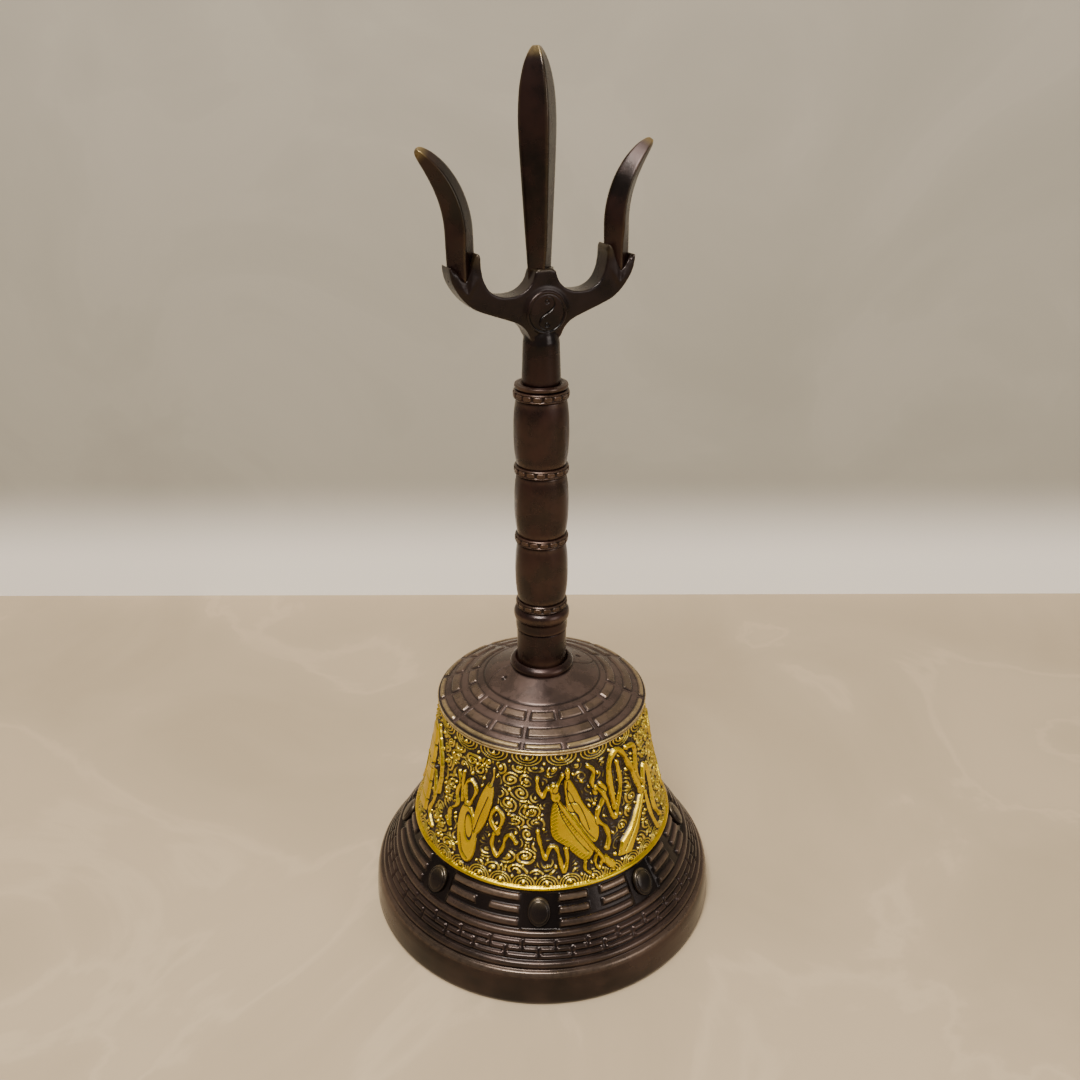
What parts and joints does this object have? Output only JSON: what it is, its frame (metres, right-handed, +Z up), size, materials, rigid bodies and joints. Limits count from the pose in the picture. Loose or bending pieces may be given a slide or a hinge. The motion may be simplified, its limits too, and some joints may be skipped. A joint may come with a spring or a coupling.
{
  "type": "trident-handled ritual hand bell",
  "caption": "Flared ritual hand bell with a gilt relief waist, a stacked ring-and-barrel handle topped by a trident, and a clapper hanging on a link inside.",
  "frame": {"origin": "centre of the ring that the bell stands on", "axes": "+Z up the bell's axis to the trident's point; the trident's arms lie along X"},
  "size_m": [0.093, 0.093, 0.212],
  "materials": {
    "dark_bronze": "dark reddish-brown patina, satin, rubbed brighter on edges and tips",
    "gilt_relief": "bright yellow gilt on raised relief, dark brown left in the recesses",
    "steel_hardware": "plain zinc-grey steel",
    "brass_wire": "plain dull brass",
    "clapper_brass": "cast brass, lightly tarnished"
  },
  "bodies": {
    "bell": {"bell_shell": "dark_bronze", "gilt_relief_band": "gilt_relief", "skirt_studs": "dark_bronze", "crown_collar": "dark_bronze", "neck_sleeve": "dark_bronze", "boss_ring": "dark_bronze", "handle_ring_1": "dark_bronze", "handle_barrel_1": "dark_bronze", "handle_ring_2": "dark_bronze", "handle_barrel_2": "dark_bronze", "handle_ring_3": "dark_bronze", "handle_barrel_3": "dark_bronze", "handle_ring_4": "dark_bronze", "cup_ring": "dark_bronze", "trident_head": "dark_bronze", "centre_blade": "dark_bronze", "left_tine": "dark_bronze", "right_tine": "dark_bronze", "front_medallion": "dark_bronze", "back_medallion": "dark_bronze", "tie_rod": "steel_hardware", "crown_washer": "steel_hardware", "crown_nut": "steel_hardware", "clapper_eye": "brass_wire"},
    "link": {"clapper_link": "brass_wire"},
    "clapper": {"clapper_rod": "clapper_brass", "clapper_ball": "clapper_brass"}
  },
  "joints": [
    {"name": "link_swing", "type": "hinge", "parent": "bell", "child": "link", "pos_m": [0, 0, 0.0462], "axis": [1, 0, 0], "range_deg": [-38, 38]},
    {"name": "clapper_swing", "type": "hinge", "parent": "link", "child": "clapper", "pos_m": [0, 0, 0.03985], "axis": [0, 1, 0], "range_deg": [-38, 38]}
  ]
}
